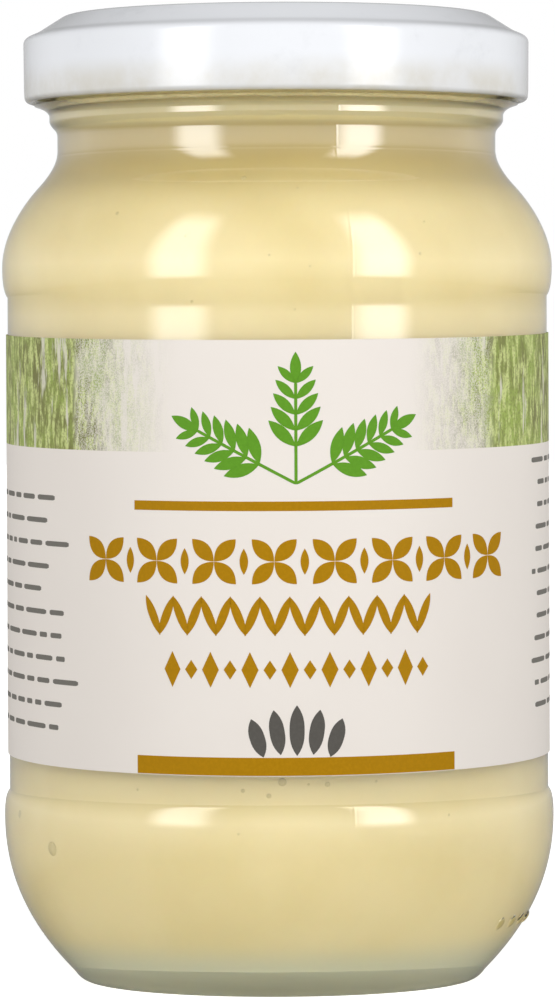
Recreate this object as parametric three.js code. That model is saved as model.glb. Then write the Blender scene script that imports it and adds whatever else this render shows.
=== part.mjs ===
// A shut glass jar of mayonnaise: a moulded clear jar, its filling, a white
// metal twist-off lid and a wrap-round paper label.
// Millimetres, +Z up. The origin is the centre of the ring that the jar stands
// on, and the front of the label faces -Y.
import * as THREE from "three";

// Every round piece is turned in the same number of sides, which start at the
// same angle, so that their flat sides stay parallel and the gaps stay even.
const SIDES = 64;

// Driving sizes of the jar.
const BODY_RADIUS = 33.2; // widest, at the shoulder and at the heel
const PANEL_RADIUS = 32.57; // the straight, slightly sunk side under the label
const PANEL_BOTTOM = 23.1;
const PANEL_TOP = 82.4;
const SHOULDER_HEIGHT = 86; // where the shoulder is widest
const HEEL_HEIGHT = 20; // where the heel is widest
const NECK_RADIUS = 26.45;
const NECK_BOTTOM = 100;
const NECK_TOP = 101.7;
const RIM_HEIGHT = 115.7;
const WALL = 2.4;

// Standing ring and the hollow under the base.
const RING_OUTER = 23.3;
const RING_INNER = 22;
const PUNT_RADIUS = 20.2;
const PUNT_HEIGHT = 1.6;

// Ring moulded under the lid, and the finish that the lid closes.
const BEAD_RADIUS = 27.4;
const BEAD_HEIGHT = 103.9;
const FLANGE_RADIUS = 29.2;
const FLANGE_HEIGHT = 105.5;
const FINISH_RADIUS = 26.7;
const MOUTH_RADIUS = 24;

// Inside of the jar.
const BASE_INSIDE = 4.8; // height of the inner bottom at its centre
const BASE_CORNER = 4.2; // and where it meets the heel
const BASE_CORNER_RADIUS = 22.4;

// Filling.
const FILL_HEIGHT = 112.2;
const FILL_GAP = 0.3;

// Lid of thin sheet metal with a rolled lower edge.
const LID_RADIUS = 30.5;
const LID_TOP = 116.3;
const LID_SHEET = 0.25;
const LID_RING_OUTER = 25.5; // flat top ring, over the rim of the glass
const LID_RING_INNER = 23.4;
const LID_SLOPE_RADIUS = 28.95;
const LID_SLOPE_HEIGHT = 114.15;
const LID_SKIRT_TOP = 112.9;
const LID_DISC_DROP = 0.5; // the sunk middle of the top
const LID_DISC_RADIUS = 22.3;
const BUTTON_RADIUS = 12;
const BUTTON_RISE = 0.25;
const CURL_RADIUS = 0.65;
const CURL_BOTTOM = 105.85;

// Label.
const LABEL_GAP = 0.06;
const LABEL_PAPER = 0.14;
const LABEL_BOTTOM = 27.6;
const LABEL_TOP = 78;
const LABEL_DROP = 1.15; // it sits this much lower in front than at the sides
const LABEL_OPEN_SIDES = 2; // sides left bare at the back, between its ends

const at = (radius, height) => new THREE.Vector2(radius, height);
const line = (from, to) => [new THREE.LineCurve(from, to), 1];
const bend = (from, pull, to, steps) => [
  new THREE.QuadraticBezierCurve(from, pull, to),
  steps,
];
const sweep = (from, pull, push, to, steps) => [
  new THREE.CubicBezierCurve(from, pull, push, to),
  steps,
];

// One outline from stretches that follow each other, each a curve and its steps.
function outline(stretches) {
  return stretches.flatMap(([curve, steps], i) =>
    curve.getPoints(steps).slice(i ? 1 : 0),
  );
}

// A solid of revolution about +Z. The outline starts and ends on the axis.
function turned(points) {
  return new THREE.LatheGeometry(points, SIDES).rotateX(Math.PI / 2);
}

// The outside of the jar, from the middle of the base up to the rim.
function jarOutside() {
  const puntEdge = at(PUNT_RADIUS, PUNT_HEIGHT - 0.5);
  const heelFoot = at(24.9, 1.2);
  const bulge = at(BODY_RADIUS, HEEL_HEIGHT);
  const panelFoot = at(PANEL_RADIUS, PANEL_BOTTOM);
  const panelHead = at(PANEL_RADIUS, PANEL_TOP);
  const shoulder = at(BODY_RADIUS, SHOULDER_HEIGHT);
  const shoulderTurn = at(28.6, 95.8);
  const neckFoot = at(NECK_RADIUS, NECK_BOTTOM);
  const neckHead = at(NECK_RADIUS, NECK_TOP);
  const beadFoot = at(26.95, 102.8);
  const bead = at(BEAD_RADIUS, BEAD_HEIGHT);
  const flange = at(FLANGE_RADIUS, FLANGE_HEIGHT);
  const finishFoot = at(FINISH_RADIUS, FLANGE_HEIGHT + 0.5);
  const finishHead = at(FINISH_RADIUS, RIM_HEIGHT - 2);
  const rimOuter = at(FINISH_RADIUS - 1.5, RIM_HEIGHT);
  return [
    bend(at(0, PUNT_HEIGHT), at(PUNT_RADIUS / 2, PUNT_HEIGHT), puntEdge, 1),
    bend(puntEdge, at(RING_INNER - 0.8, 0.2), at(RING_INNER, 0), 2),
    line(at(RING_INNER, 0), at(RING_OUTER, 0)),
    bend(at(RING_OUTER, 0), at(24.2, 0.15), heelFoot, 2),
    sweep(heelFoot, at(30.0, 6.4), at(BODY_RADIUS, 12.3), bulge, 7),
    bend(bulge, at(BODY_RADIUS, PANEL_BOTTOM - 0.5), panelFoot, 2),
    line(panelFoot, panelHead),
    bend(panelHead, at(BODY_RADIUS, PANEL_TOP + 0.8), shoulder, 2),
    sweep(shoulder, at(BODY_RADIUS, 89.6), at(30.95, 93.3), shoulderTurn, 6),
    bend(shoulderTurn, at(NECK_RADIUS, 98.2), neckFoot, 3),
    line(neckFoot, neckHead),
    bend(neckHead, at(NECK_RADIUS, 102.4), beadFoot, 2),
    bend(beadFoot, at(BEAD_RADIUS, 103.35), bead, 1),
    bend(bead, at(BEAD_RADIUS + 0.1, 105), flange, 3),
    line(flange, finishFoot),
    line(finishFoot, finishHead),
    bend(finishHead, at(FINISH_RADIUS - 0.2, RIM_HEIGHT - 0.5), rimOuter, 2),
  ];
}

// The inside of the jar from a height in the mouth down to the middle of its
// bottom, drawn in by a gap: the cavity itself with none, the filling with a
// small one.
function jarInside(top, gap) {
  const mouthFoot = at(MOUTH_RADIUS - gap, 101);
  const turn = at(26.7 - gap, 95.2);
  const shoulder = at(PANEL_RADIUS - WALL + 0.25 - gap, 85.5);
  const panelHead = at(PANEL_RADIUS - WALL - gap, 79);
  const panelFoot = at(PANEL_RADIUS - WALL - gap, 27);
  const heel = at(PANEL_RADIUS - WALL + 0.25 - gap, 19.5);
  const corner = at(BASE_CORNER_RADIUS - gap, BASE_CORNER + gap);
  const middle = at(0, BASE_INSIDE + gap);
  return [
    line(at(MOUTH_RADIUS - gap, top), mouthFoot),
    bend(mouthFoot, at(MOUTH_RADIUS - gap, 97.6), turn, 3),
    sweep(turn, at(28.9 - gap, 93.2), at(30.3 - gap, 90), shoulder, 4),
    bend(shoulder, at(30.3 - gap, 82), panelHead, 1),
    line(panelHead, panelFoot),
    bend(panelFoot, at(30.1 - gap, 23), heel, 1),
    sweep(heel, at(30.4 - gap, 13.5), at(27.2 - gap, 7.4), corner, 4),
    bend(corner, at(BASE_CORNER_RADIUS / 2, BASE_INSIDE + gap), middle, 2),
  ];
}

function glassJar() {
  const rimOuter = at(FINISH_RADIUS - 1.5, RIM_HEIGHT);
  const rimInner = at(MOUTH_RADIUS + 0.7, RIM_HEIGHT);
  const mouthHead = at(MOUTH_RADIUS, RIM_HEIGHT - 0.9);
  return turned(
    outline([
      ...jarOutside(),
      line(rimOuter, rimInner),
      line(rimInner, mouthHead),
      ...jarInside(mouthHead.y, 0),
    ]),
  );
}

function mayonnaise() {
  const surface = line(at(0, FILL_HEIGHT), at(MOUTH_RADIUS - FILL_GAP, FILL_HEIGHT));
  return turned(
    outline([surface, ...jarInside(FILL_HEIGHT, FILL_GAP)]).reverse(),
  );
}

// The flat and sloping top of the lid from its middle out to the skirt, at a
// depth under the outer face of the sheet.
function lidTop(depth) {
  const button = LID_TOP - LID_DISC_DROP + BUTTON_RISE - depth;
  const disc = LID_TOP - LID_DISC_DROP - depth;
  const ring = LID_TOP - depth;
  const ringOuter = at(LID_RING_OUTER - 0.3 * depth, ring);
  const slopeFoot = at(LID_SLOPE_RADIUS - 0.5 * depth, LID_SLOPE_HEIGHT - depth);
  const skirtHead = at(LID_RADIUS - depth, LID_SKIRT_TOP);
  return [
    line(at(0, button), at(BUTTON_RADIUS - 0.8, button)),
    line(at(BUTTON_RADIUS - 0.8, button), at(BUTTON_RADIUS, disc)),
    line(at(BUTTON_RADIUS, disc), at(LID_DISC_RADIUS, disc)),
    line(at(LID_DISC_RADIUS, disc), at(LID_RING_INNER, ring)),
    line(at(LID_RING_INNER, ring), ringOuter),
    line(ringOuter, slopeFoot),
    bend(slopeFoot, at(LID_RADIUS - depth, LID_SLOPE_HEIGHT - 0.6 - depth), skirtHead, 2),
  ];
}

// The rolled lower edge, from the foot of the skirt round to its inner face.
function lidCurl() {
  const middle = at(LID_RADIUS - 0.1 - CURL_RADIUS, CURL_BOTTOM + CURL_RADIUS);
  const roll = new THREE.EllipseCurve(
    middle.x, middle.y, CURL_RADIUS, CURL_RADIUS, 0, -1.5 * Math.PI, true,
  );
  return [roll, 6];
}

function lid() {
  const outside = lidTop(0);
  const inside = lidTop(LID_SHEET);
  const [curl] = lidCurl();
  const skirtHead = at(LID_RADIUS, LID_SKIRT_TOP);
  const skirtInside = at(LID_RADIUS - 0.1 - LID_SHEET, curl.getPoint(1).y);
  return turned(
    outline([
      ...outside,
      line(skirtHead, curl.getPoint(0)),
      lidCurl(),
      line(curl.getPoint(1), skirtInside),
      line(skirtInside, at(LID_RADIUS - LID_SHEET, LID_SKIRT_TOP)),
    ]).concat(outline(inside).reverse().slice(1)).reverse(),
  );
}

// The label: a thin band round the sunk side, open at the back, and set a
// little askew so that its front hangs lower than its sides.
function label() {
  const inner = PANEL_RADIUS + LABEL_GAP;
  const outer = inner + LABEL_PAPER;
  const step = (2 * Math.PI) / SIDES;
  const first = Math.PI / 2 + (LABEL_OPEN_SIDES / 2) * step;
  const corners = SIDES - LABEL_OPEN_SIDES;
  const edge = (radius) =>
    Array.from({ length: corners + 1 }, (_, i) =>
      at(radius * Math.cos(first + i * step), radius * Math.sin(first + i * step)),
    );
  const band = new THREE.ExtrudeGeometry(
    new THREE.Shape([...edge(outer), ...edge(inner).reverse()]),
    { depth: LABEL_TOP - LABEL_BOTTOM, bevelEnabled: false },
  );
  const askew = new THREE.Matrix4().makeShear(0, 0, 0, LABEL_DROP / outer, 0, 0);
  return band.translate(0, 0, LABEL_BOTTOM).applyMatrix4(askew);
}

const finishes = {
  glass: new THREE.MeshStandardMaterial({
    color: 0xeef2ee, roughness: 0.03, metalness: 0, transparent: true, opacity: 0.3,
  }),
  mayonnaise: new THREE.MeshStandardMaterial({ color: 0xf3dfa3, roughness: 0.5, metalness: 0 }),
  lid: new THREE.MeshStandardMaterial({ color: 0xf2f3f5, roughness: 0.25, metalness: 0 }),
  paper: new THREE.MeshStandardMaterial({ color: 0xefe8e3, roughness: 0.55, metalness: 0 }),
};

function piece(name, geometry, finish) {
  const mesh = new THREE.Mesh(geometry, finish);
  mesh.name = name;
  return mesh;
}

const jar = new THREE.Group();
jar.add(
  piece("glass_jar", glassJar(), finishes.glass),
  piece("mayonnaise", mayonnaise(), finishes.mayonnaise),
  piece("lid", lid(), finishes.lid),
  piece("label", label(), finishes.paper),
);

export default jar;
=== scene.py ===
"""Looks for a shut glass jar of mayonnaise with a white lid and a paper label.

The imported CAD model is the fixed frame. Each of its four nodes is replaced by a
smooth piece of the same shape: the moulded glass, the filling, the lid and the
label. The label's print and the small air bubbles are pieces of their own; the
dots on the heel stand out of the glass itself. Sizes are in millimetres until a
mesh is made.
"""

import logging
import math
import random
from collections.abc import Callable, Iterable
from dataclasses import dataclass, field
from enum import Enum

import bpy
import numpy as np
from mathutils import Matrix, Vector


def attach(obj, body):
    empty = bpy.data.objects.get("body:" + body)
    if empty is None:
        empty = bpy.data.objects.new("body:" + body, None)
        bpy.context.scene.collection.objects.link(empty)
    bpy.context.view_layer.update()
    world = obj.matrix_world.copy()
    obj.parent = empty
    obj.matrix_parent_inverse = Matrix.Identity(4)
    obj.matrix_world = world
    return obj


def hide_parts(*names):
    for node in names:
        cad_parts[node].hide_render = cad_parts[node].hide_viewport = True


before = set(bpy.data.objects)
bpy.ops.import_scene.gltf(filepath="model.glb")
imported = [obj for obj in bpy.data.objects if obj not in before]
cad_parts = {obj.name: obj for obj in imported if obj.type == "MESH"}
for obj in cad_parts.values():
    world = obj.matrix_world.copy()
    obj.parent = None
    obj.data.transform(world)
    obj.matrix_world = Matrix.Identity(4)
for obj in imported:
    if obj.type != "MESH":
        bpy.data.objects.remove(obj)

LOG = logging.getLogger("jar")
MM = 0.001
BODY = "root"
DOT_MASK = "heel_dot"

Point = tuple[float, float]
Value = float | tuple | bpy.types.NodeSocket


# Sizes shared by several pieces, in millimetres


@dataclass(frozen=True)
class JarSizes:
    """The sizes that the glass, its filling and its label have in common."""

    body_radius: float = 33.2
    panel_radius: float = 32.57
    panel_bottom: float = 23.1
    panel_top: float = 82.4
    shoulder_height: float = 86.0
    heel_height: float = 20.0
    neck_radius: float = 26.45
    neck_bottom: float = 100.0
    neck_top: float = 101.7
    rim_height: float = 115.7
    wall: float = 2.4
    ring_outer: float = 23.3
    ring_inner: float = 22.0
    punt_radius: float = 20.2
    punt_height: float = 1.6
    bead_radius: float = 27.4
    bead_height: float = 103.9
    bead_flat: float = 0.28
    flange_radius: float = 29.2
    flange_height: float = 105.5
    finish_radius: float = 26.7
    mouth_radius: float = 24.0
    base_inside: float = 4.8
    base_corner: float = 4.2
    base_corner_radius: float = 22.4
    fill_height: float = 112.2
    seam_degrees: float = 15.3


SIZES = JarSizes()


# Outlines and turned meshes


class Outline:
    """An outline of a turned piece: (radius, height) points in millimetres."""

    def __init__(self, start: Point) -> None:
        """Starts the outline at a point."""
        self.points: list[Point] = [start]

    def line(self, to: Point, steps: int = 1) -> "Outline":
        """Adds a straight stretch.

        Args:
            to: Its end.
            steps: How many pieces it is cut into.

        Returns:
            The outline itself.
        """
        return self._curve([self.points[-1], to], steps)

    def bend(self, pull: Point, to: Point, steps: int = 10) -> "Outline":
        """Adds a curve that leaves and arrives towards one pull point.

        Args:
            pull: The point that both ends head for.
            to: Its end.
            steps: How many pieces it is cut into.

        Returns:
            The outline itself.
        """
        return self._curve([self.points[-1], pull, to], steps)

    def sweep(self, pull: Point, push: Point, to: Point, steps: int = 22) -> "Outline":
        """Adds a curve with a pull point at each end.

        Args:
            pull: The point that its start heads for.
            push: The point that its end comes from.
            to: Its end.
            steps: How many pieces it is cut into.

        Returns:
            The outline itself.
        """
        return self._curve([self.points[-1], pull, push, to], steps)

    def arc(self, middle: Point, radius: float, start: float, end: float, steps: int) -> "Outline":
        """Adds part of a circle.

        Args:
            middle: Its centre.
            radius: Its radius.
            start: Angle of its start, in degrees.
            end: Angle of its end, in degrees.
            steps: How many pieces it is cut into.

        Returns:
            The outline itself.
        """
        for angle in np.radians(np.linspace(start, end, steps + 1)):
            self.points.append(
                (middle[0] + radius * math.cos(angle), middle[1] + radius * math.sin(angle))
            )
        return self

    def refine(self, low: float, high: float, cuts: int) -> "Outline":
        """Cuts each stretch between two heights into several.

        Args:
            low: The lower height.
            high: The upper height.
            cuts: How many pieces each stretch becomes.

        Returns:
            The outline itself.
        """
        points = [self.points[0]]
        for start, end in zip(self.points, self.points[1:]):
            inside = max(start[1], end[1]) > low and min(start[1], end[1]) < high
            count = cuts if inside else 1
            for t in np.arange(1, count + 1) / count:
                points.append(tuple(a + (b - a) * t for a, b in zip(start, end)))
        self.points = points
        return self

    def _curve(self, controls: list[Point], steps: int) -> "Outline":
        """Adds a Bezier curve over its control points, without its first point."""
        order = len(controls) - 1
        for t in np.linspace(0, 1, steps + 1)[1:]:
            weights = [math.comb(order, k) * t**k * (1 - t) ** (order - k) for k in range(order + 1)]
            self.points.append(
                tuple(sum(w * c[axis] for w, c in zip(weights, controls)) for axis in (0, 1))
            )
        return self


def even_angles(sides: int) -> np.ndarray:
    """Returns evenly spread angles in degrees, from the front round."""
    return np.linspace(-180, 180, sides, endpoint=False)


def packed_angles(sides: int, bands: Iterable[tuple[float, float, int]]) -> np.ndarray:
    """Spreads angles evenly and packs more of them into some bands.

    Args:
        sides: How many even angles there are.
        bands: Start, end and number of angles of each packed band, in degrees.

    Returns:
        The sorted angles, in degrees.
    """
    bands = list(bands)
    far = [a for a in even_angles(sides) if not any(low <= a <= high for low, high, _ in bands)]
    near = [a for low, high, count in bands for a in np.linspace(low, high, count)]
    return np.array(sorted(far + near))


def turned(
    name: str,
    points: list[Point],
    angles: np.ndarray,
    swell: Callable[[float, float, float], float] | None = None,
) -> bpy.types.Object:
    """Makes a closed turned mesh from an outline that starts and ends on the axis.

    Args:
        name: The piece's name.
        points: Its outline in millimetres, anticlockwise with radius to the right.
        angles: Angles in degrees of its sides; 0 is the front, 90 the viewer's right.
        swell: Gives how far a point stands out, from its radius, height and angle.

    Returns:
        The new object, smoothly shaded.
    """
    corners: list[tuple[float, float, float]] = []
    rings: list[list[int]] = []
    for radius, height in points:
        if radius < 1e-6:
            rings.append([len(corners)] * len(angles))
            corners.append((0.0, 0.0, height * MM))
            continue
        rings.append(list(range(len(corners), len(corners) + len(angles))))
        for angle in angles:
            out = (radius + (swell(radius, height, angle) if swell else 0.0)) * MM
            turn = math.radians(angle)
            corners.append((out * math.sin(turn), -out * math.cos(turn), height * MM))
    faces = []
    for low, high in zip(rings, rings[1:]):
        for i in range(len(angles)):
            j = (i + 1) % len(angles)
            face = list(dict.fromkeys([low[i], low[j], high[j], high[i]]))
            if len(face) > 2:
                faces.append(face)
    return solid(name, corners, faces)


def solid(name: str, corners: list, faces: list, crease: float = 38.0) -> bpy.types.Object:
    """Makes a smoothly shaded mesh object.

    Args:
        name: The piece's name.
        corners: Its points, in metres.
        faces: Its faces, as lists of point numbers.
        crease: Edges that bend more than this many degrees stay sharp.

    Returns:
        The new object.
    """
    mesh = bpy.data.meshes.new(name)
    mesh.from_pydata(corners, [], faces)
    mesh.validate()
    mesh.shade_smooth()
    mesh.set_sharp_from_angle(angle=math.radians(crease))
    piece = bpy.data.objects.new(name, mesh)
    bpy.context.scene.collection.objects.link(piece)
    return piece


# Finishes


@dataclass(frozen=True)
class Tone:
    """A colour as it looks on a screen, 0 to 255."""

    red: int
    green: int
    blue: int

    def linear(self) -> tuple[float, float, float, float]:
        """Returns the colour in the linear values that shaders take."""
        channels = (c / 255 for c in (self.red, self.green, self.blue))
        return (*(c / 12.92 if c <= 0.04045 else ((c + 0.055) / 1.055) ** 2.4 for c in channels), 1.0)


class Sketch:
    """A material's node tree, built one node at a time."""

    def __init__(self, name: str) -> None:
        """Starts a material with a Principled shader and a place to read from."""
        self.material = bpy.data.materials.new(name)
        self.material.use_nodes = True
        self.nodes = self.material.node_tree.nodes
        self.links = self.material.node_tree.links
        self.shader = next(n for n in self.nodes if n.type == "BSDF_PRINCIPLED")
        self.place = self.node("ShaderNodeTexCoord").outputs["Object"]

    def node(self, kind: str, inputs: dict | None = None, **settings) -> bpy.types.Node:
        """Adds a node.

        Args:
            kind: Blender's name of its type.
            inputs: A value or a socket for each input, by name or number.
            settings: Its properties.

        Returns:
            The new node.
        """
        made = self.nodes.new(kind)
        for key, value in settings.items():
            setattr(made, key, value)
        for key, value in (inputs or {}).items():
            self.feed(made.inputs[key], value)
        return made

    def feed(self, socket: bpy.types.NodeSocket, value: Value) -> None:
        """Sets a socket to a value, or links another socket to it."""
        if isinstance(value, bpy.types.NodeSocket):
            self.links.new(value, socket)
        else:
            socket.default_value = value

    def math(self, operation: str, *values: Value, clamp: bool = False) -> bpy.types.NodeSocket:
        """Returns the result of a Math node."""
        inputs = dict(enumerate(values))
        return self.node("ShaderNodeMath", inputs, operation=operation, use_clamp=clamp).outputs[0]

    def noise(
        self, scale: float, detail: float = 3.0, rough: float = 0.5, upright: float = 1.0
    ) -> bpy.types.NodeSocket:
        """Returns a noise value over the piece.

        Args:
            scale: Spots per metre.
            detail: How many finer layers it has.
            rough: How strong they are.
            upright: How many times taller than wide its spots are.

        Returns:
            The value, about 0.3 to 0.7 over most of the piece.
        """
        place = self.place
        if upright != 1.0:
            squeezed = {"Vector": place, "Scale": (1.0, 1.0, 1.0 / upright)}
            place = self.node("ShaderNodeMapping", squeezed).outputs[0]
        made = {"Vector": place, "Scale": scale, "Detail": detail, "Roughness": rough}
        return self.node("ShaderNodeTexNoise", made).outputs["Fac"]

    def ramp(self, value: Value, low: float, high: float, out_low: float, out_high: float) -> bpy.types.NodeSocket:
        """Returns a value taken smoothly from one range to another, and clamped."""
        made = self.node(
            "ShaderNodeMapRange",
            {"Value": value, "From Min": low, "From Max": high, "To Min": out_low, "To Max": out_high},
            interpolation_type="SMOOTHSTEP",
        )
        return made.outputs["Result"]

    def blend(self, share: Value, first: Value, second: Value) -> bpy.types.NodeSocket:
        """Returns a colour between two colours."""
        made = self.node("ShaderNodeMix", {"Factor": share}, data_type="RGBA")
        self.feed(made.inputs[6], first)
        self.feed(made.inputs[7], second)
        return made.outputs[2]

    def level(self) -> bpy.types.NodeSocket:
        """Returns the height above the floor, in metres."""
        return self.node("ShaderNodeSeparateXYZ", {0: self.place}).outputs["Z"]

    def relief(self, height: Value, strength: float, depth_mm: float) -> bpy.types.NodeSocket:
        """Returns a normal bent by a height, at a depth in millimetres."""
        made = {"Height": height, "Strength": strength, "Distance": depth_mm * MM}
        return self.node("ShaderNodeBump", made).outputs["Normal"]

    def shade(self, **inputs: Value) -> bpy.types.Material:
        """Feeds the Principled shader, its inputs named with _ for a space."""
        for key, value in inputs.items():
            self.feed(self.shader.inputs[key.replace("_", " ")], value)
        return self.material


@dataclass(frozen=True)
class GlassFinish:
    """Clear moulded glass, with the slow ripple that a mould leaves.

    The fire-polished neck shines more than the moulded body, and the thick
    base shows the glass's own tint, made bluer as a painted reflection.
    """

    tint: Tone = Tone(247, 250, 248)
    # the thick base's own tint, made bluer as a painted reflection
    base_tint_and_reflection: Tone = Tone(226, 237, 247)
    base_from: float = 3.0
    base_to: float = 6.5
    index: float = 1.5
    # painted shade: the clear glass dots on the heel are tinted darker olive
    dot_shade: Tone = Tone(176, 168, 122)
    body_shine: float = 0.4
    neck_shine: float = 0.8
    polish_from: float = 97.0
    polish_to: float = 99.4

    def material(self) -> bpy.types.Material:
        """Returns the material."""
        sketch = Sketch("moulded_glass")
        ripple = sketch.math("ADD", sketch.noise(90.0, 2.0), sketch.math("MULTIPLY", sketch.noise(700.0), 0.12))
        scuffs = sketch.ramp(sketch.noise(1400.0, 6.0, 0.7), 0.58, 0.8, 0.01, 0.09)
        level = sketch.level()
        thick = sketch.ramp(level, self.base_from * MM, self.base_to * MM, 1.0, 0.0)
        # painted reflection: the thick base is tinted bluer
        clear = sketch.blend(thick, self.tint.linear(), self.base_tint_and_reflection.linear())
        dot = sketch.node("ShaderNodeAttribute", attribute_name=DOT_MASK).outputs["Fac"]
        return sketch.shade(
            # the heel dots get the painted shade tint
            Base_Color=sketch.blend(dot, clear, self.dot_shade.linear()),
            Roughness=scuffs,
            IOR=self.index,
            Transmission_Weight=1.0,
            Coat_Weight=sketch.ramp(
                level, self.polish_from * MM, self.polish_to * MM, self.body_shine, self.neck_shine
            ),
            Coat_IOR=2.0,
            Coat_Roughness=0.015,
            Normal=sketch.relief(ripple, 0.2, 0.12),
        )


@dataclass(frozen=True)
class CreamFinish:
    """Thick egg and oil cream pressed against glass.

    Its tone is darkened towards the neck and greyed towards the bottom, as
    painted shade; under the lid it goes back to about its plain tone.
    """

    light: Tone = Tone(224, 207, 156)
    deep: Tone = Tone(218, 200, 145)
    # painted shade: the cream is darker towards the neck
    neck: Tone = Tone(184, 162, 97)
    # under the lid the painted neck shade gives way to about the plain tone
    shaded: Tone = Tone(218, 202, 148)
    # painted shade: the cream turns greyer towards the bottom
    base: Tone = Tone(210, 200, 160)
    neck_shade_from: float = 91.0
    neck_shade_to: float = 99.5
    under_lid_from: float = 101.8
    under_lid_to: float = 104.5
    base_from: float = 8.0
    base_to: float = 4.2

    def material(self) -> bpy.types.Material:
        """Returns the material."""
        sketch = Sketch("thick_cream")
        clouds = sketch.ramp(sketch.noise(70.0, 4.0, 0.55), 0.35, 0.65, 0.0, 1.0)
        grain = sketch.math("MULTIPLY", sketch.noise(2200.0, 2.0), 0.25)
        body = sketch.blend(clouds, self.deep.linear(), self.light.linear())
        level = sketch.level()
        # painted shade by height: darker towards the neck, greyer towards the bottom
        neck_shading = sketch.ramp(level, self.neck_shade_from * MM, self.neck_shade_to * MM, 0.0, 1.0)
        base_shading = sketch.ramp(level, self.base_to * MM, self.base_from * MM, 1.0, 0.0)
        top = sketch.ramp(level, self.under_lid_from * MM, self.under_lid_to * MM, 0.0, 1.0)
        colour = sketch.blend(neck_shading, sketch.blend(grain, body, self.deep.linear()), self.neck.linear())
        colour = sketch.blend(top, colour, self.shaded.linear())
        return sketch.shade(
            # painted shade towards the bottom
            Base_Color=sketch.blend(base_shading, colour, self.base.linear()),
            Roughness=sketch.ramp(clouds, 0.0, 1.0, 0.42, 0.55),
            IOR=1.45,
            Subsurface_Weight=0.25,
            Subsurface_Radius=(1.0, 0.7, 0.35),
            Subsurface_Scale=1.6 * MM,
            Normal=sketch.relief(sketch.noise(500.0, 4.0), 0.2, 0.06),
        )


@dataclass(frozen=True)
class EnamelFinish:
    """Gloss white enamel on sheet metal, a little rubbed.

    It turns greyer in patches towards its lower edge.
    """

    paint: Tone = Tone(237, 239, 243)
    dull: Tone = Tone(225, 227, 231)
    # greyer tone in patches towards the lower edge
    lower_grey: Tone = Tone(218, 215, 206)
    lower_grey_from: float = 110.6
    lower_grey_to: float = 107.0

    def material(self) -> bpy.types.Material:
        """Returns the material."""
        sketch = Sketch("white_enamel")
        peel = sketch.noise(1500.0, 2.0)
        rubbed = sketch.ramp(sketch.noise(110.0, 6.0, 0.65), 0.56, 0.78, 0.0, 1.0)
        low = sketch.ramp(sketch.level(), self.lower_grey_to * MM, self.lower_grey_from * MM, 1.0, 0.0)
        grey_patches = sketch.ramp(sketch.noise(75.0, 5.0, 0.6), 0.38, 0.62, 0.35, 1.0)
        paint = sketch.blend(rubbed, self.paint.linear(), self.dull.linear())
        return sketch.shade(
            Base_Color=sketch.blend(sketch.math("MULTIPLY", low, grey_patches), paint, self.lower_grey.linear()),
            Roughness=sketch.ramp(rubbed, 0.0, 1.0, 0.13, 0.26),
            IOR=1.5,
            Coat_Weight=0.35,
            Coat_Roughness=0.06,
            Normal=sketch.relief(peel, 0.15, 0.03),
        )


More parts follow.
